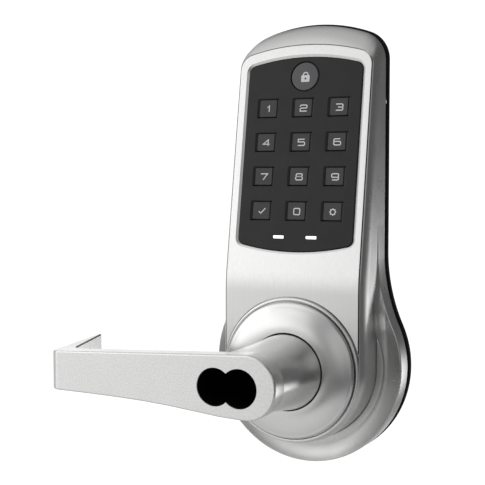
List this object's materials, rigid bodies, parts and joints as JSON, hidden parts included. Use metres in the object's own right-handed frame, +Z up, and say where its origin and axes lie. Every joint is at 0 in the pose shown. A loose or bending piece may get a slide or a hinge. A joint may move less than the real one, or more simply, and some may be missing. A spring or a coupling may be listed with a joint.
{
  "type": "keypad lever lock",
  "caption": "Outside unit of a keypad door lock: satin escutcheon with an inclined keypad over a round base, and a return lever with an empty core socket.",
  "frame": {"origin": "on the lever's turning axis, in the plane of the gasket's back, which is the face of the door", "axes": "-Y out of the door towards the user, +X to the user's right, +Z up; the lever points to -X at rest"},
  "size_m": [0.1756, 0.1006, 0.2492],
  "materials": {
    "mounting_gasket": "matt moulded rubber",
    "back_plate": "black coated steel",
    "escutcheon_housing": "satin plated casting",
    "face_plate": "vertically brushed sheet",
    "keypad_fascia": "black moulded panel",
    "badge_disc": "plain dark disc",
    "led_window_left": "clear light pipe",
    "led_window_right": "clear light pipe",
    "keypad_mat": "silicone rubber",
    "keypad_board": "circuit board",
    "control_board": "circuit board",
    "sounder": "moulded",
    "door_connector": "moulded nylon",
    "ribbon_cable": "flat flexible cable",
    "mounting_post_upper": "plated steel",
    "mounting_post_left": "plated steel",
    "mounting_post_right": "plated steel",
    "rear_screw_upper_left": "plated screw",
    "rear_screw_upper_right": "plated screw",
    "rear_screw_lower_left": "plated screw",
    "rear_screw_lower_right": "plated screw",
    "board_screw_1": "plated screw",
    "board_screw_2": "plated screw",
    "board_screw_3": "plated screw",
    "board_screw_4": "plated screw",
    "rose_ring": "satin plated",
    "rose_dome": "satin plated pressing",
    "lever_bearing": "sintered bronze",
    "spring_cage": "plated steel",
    "return_spring": "spring steel",
    "clutch_motor": "plated can",
    "lever_handle": "satin plated casting",
    "spindle_tube": "turned steel",
    "lever_set_screw": "blackened steel",
    "retaining_ring": "spring steel",
    "drive_hub": "sintered steel",
    "clutch_collar": "sintered steel",
    "tailpiece_cam": "sintered steel",
    "shift_fork": "moulded acetal",
    "lead_screw": "turned",
    "key_1": "dark moulded key",
    "key_2": "dark moulded key",
    "key_3": "dark moulded key",
    "key_4": "dark moulded key",
    "key_5": "dark moulded key",
    "key_6": "dark moulded key",
    "key_7": "dark moulded key",
    "key_8": "dark moulded key",
    "key_9": "dark moulded key",
    "key_0": "dark moulded key",
    "key_check": "dark moulded key",
    "key_gear": "dark moulded key"
  },
  "bodies": {
    "escutcheon": {"mounting_gasket": "mounting_gasket", "back_plate": "back_plate", "escutcheon_housing": "escutcheon_housing", "face_plate": "face_plate", "keypad_fascia": "keypad_fascia", "badge_disc": "badge_disc", "led_window_left": "led_window_left", "led_window_right": "led_window_right", "keypad_mat": "keypad_mat", "keypad_board": "keypad_board", "control_board": "control_board", "sounder": "sounder", "door_connector": "door_connector", "ribbon_cable": "ribbon_cable", "mounting_post_upper": "mounting_post_upper", "mounting_post_left": "mounting_post_left", "mounting_post_right": "mounting_post_right", "rear_screw_upper_left": "rear_screw_upper_left", "rear_screw_upper_right": "rear_screw_upper_right", "rear_screw_lower_left": "rear_screw_lower_left", "rear_screw_lower_right": "rear_screw_lower_right", "board_screw_1": "board_screw_1", "board_screw_2": "board_screw_2", "board_screw_3": "board_screw_3", "board_screw_4": "board_screw_4", "rose_ring": "rose_ring", "rose_dome": "rose_dome", "lever_bearing": "lever_bearing", "spring_cage": "spring_cage", "return_spring": "return_spring", "clutch_motor": "clutch_motor"},
    "lever": {"lever_handle": "lever_handle", "spindle_tube": "spindle_tube", "lever_set_screw": "lever_set_screw", "retaining_ring": "retaining_ring", "drive_hub": "drive_hub"},
    "clutch_collar": {"clutch_collar": "clutch_collar"},
    "tailpiece_cam": {"tailpiece_cam": "tailpiece_cam"},
    "shift_fork": {"shift_fork": "shift_fork"},
    "lead_screw": {"lead_screw": "lead_screw"},
    "key_1": {"key_1": "key_1"},
    "key_2": {"key_2": "key_2"},
    "key_3": {"key_3": "key_3"},
    "key_4": {"key_4": "key_4"},
    "key_5": {"key_5": "key_5"},
    "key_6": {"key_6": "key_6"},
    "key_7": {"key_7": "key_7"},
    "key_8": {"key_8": "key_8"},
    "key_9": {"key_9": "key_9"},
    "key_0": {"key_0": "key_0"},
    "key_check": {"key_check": "key_check"},
    "key_gear": {"key_gear": "key_gear"}
  },
  "joints": [
    {"name": "lever_turn", "type": "hinge", "parent": "escutcheon", "child": "lever", "pos_m": [0, 0, 0], "axis": [0, 1, 0], "range_deg": [-45, 45], "stiffness_Nm_per_rad": 2, "springref_deg": 4.58},
    {"name": "collar_slide", "type": "slide", "parent": "lever", "child": "clutch_collar", "axis": [0, -1, 0], "range_m": [0, 0.0025]},
    {"name": "cam_turn", "type": "hinge", "parent": "escutcheon", "child": "tailpiece_cam", "pos_m": [0, 0, 0], "axis": [0, 1, 0], "range_deg": [-45, 45]},
    {"name": "fork_slide", "type": "slide", "parent": "escutcheon", "child": "shift_fork", "axis": [0, -1, 0], "range_m": [0, 0.0025]},
    {"name": "lead_screw_turn", "type": "hinge", "parent": "escutcheon", "child": "lead_screw", "pos_m": [0, 0, 0.033], "axis": [0, 1, 0], "range_deg": [0, 500]},
    {"name": "key_1_press", "type": "slide", "parent": "escutcheon", "child": "key_1", "axis": [0, 0.9866, -0.163], "range_m": [0, 0.001], "stiffness_N_per_m": 400, "springref_m": -0.001},
    {"name": "key_2_press", "type": "slide", "parent": "escutcheon", "child": "key_2", "axis": [0, 0.9866, -0.163], "range_m": [0, 0.001], "stiffness_N_per_m": 400, "springref_m": -0.001},
    {"name": "key_3_press", "type": "slide", "parent": "escutcheon", "child": "key_3", "axis": [0, 0.9866, -0.163], "range_m": [0, 0.001], "stiffness_N_per_m": 400, "springref_m": -0.001},
    {"name": "key_4_press", "type": "slide", "parent": "escutcheon", "child": "key_4", "axis": [0, 0.9866, -0.163], "range_m": [0, 0.001], "stiffness_N_per_m": 400, "springref_m": -0.001},
    {"name": "key_5_press", "type": "slide", "parent": "escutcheon", "child": "key_5", "axis": [0, 0.9866, -0.163], "range_m": [0, 0.001], "stiffness_N_per_m": 400, "springref_m": -0.001},
    {"name": "key_6_press", "type": "slide", "parent": "escutcheon", "child": "key_6", "axis": [0, 0.9866, -0.163], "range_m": [0, 0.001], "stiffness_N_per_m": 400, "springref_m": -0.001},
    {"name": "key_7_press", "type": "slide", "parent": "escutcheon", "child": "key_7", "axis": [0, 0.9866, -0.163], "range_m": [0, 0.001], "stiffness_N_per_m": 400, "springref_m": -0.001},
    {"name": "key_8_press", "type": "slide", "parent": "escutcheon", "child": "key_8", "axis": [0, 0.9866, -0.163], "range_m": [0, 0.001], "stiffness_N_per_m": 400, "springref_m": -0.001},
    {"name": "key_9_press", "type": "slide", "parent": "escutcheon", "child": "key_9", "axis": [0, 0.9866, -0.163], "range_m": [0, 0.001], "stiffness_N_per_m": 400, "springref_m": -0.001},
    {"name": "key_0_press", "type": "slide", "parent": "escutcheon", "child": "key_0", "axis": [0, 0.9866, -0.163], "range_m": [0, 0.001], "stiffness_N_per_m": 400, "springref_m": -0.001},
    {"name": "key_check_press", "type": "slide", "parent": "escutcheon", "child": "key_check", "axis": [0, 0.9866, -0.163], "range_m": [0, 0.001], "stiffness_N_per_m": 400, "springref_m": -0.001},
    {"name": "key_gear_press", "type": "slide", "parent": "escutcheon", "child": "key_gear", "axis": [0, 0.9866, -0.163], "range_m": [0, 0.001], "stiffness_N_per_m": 400, "springref_m": -0.001}
  ],
  "couplings": [
    {"joint": "cam_turn", "follows": "lever_turn", "ratio": 1},
    {"joint": "lead_screw_turn", "follows": "fork_slide", "rad_per_m": 3490},
    {"joint": "collar_slide", "follows": "fork_slide", "ratio": 1}
  ]
}
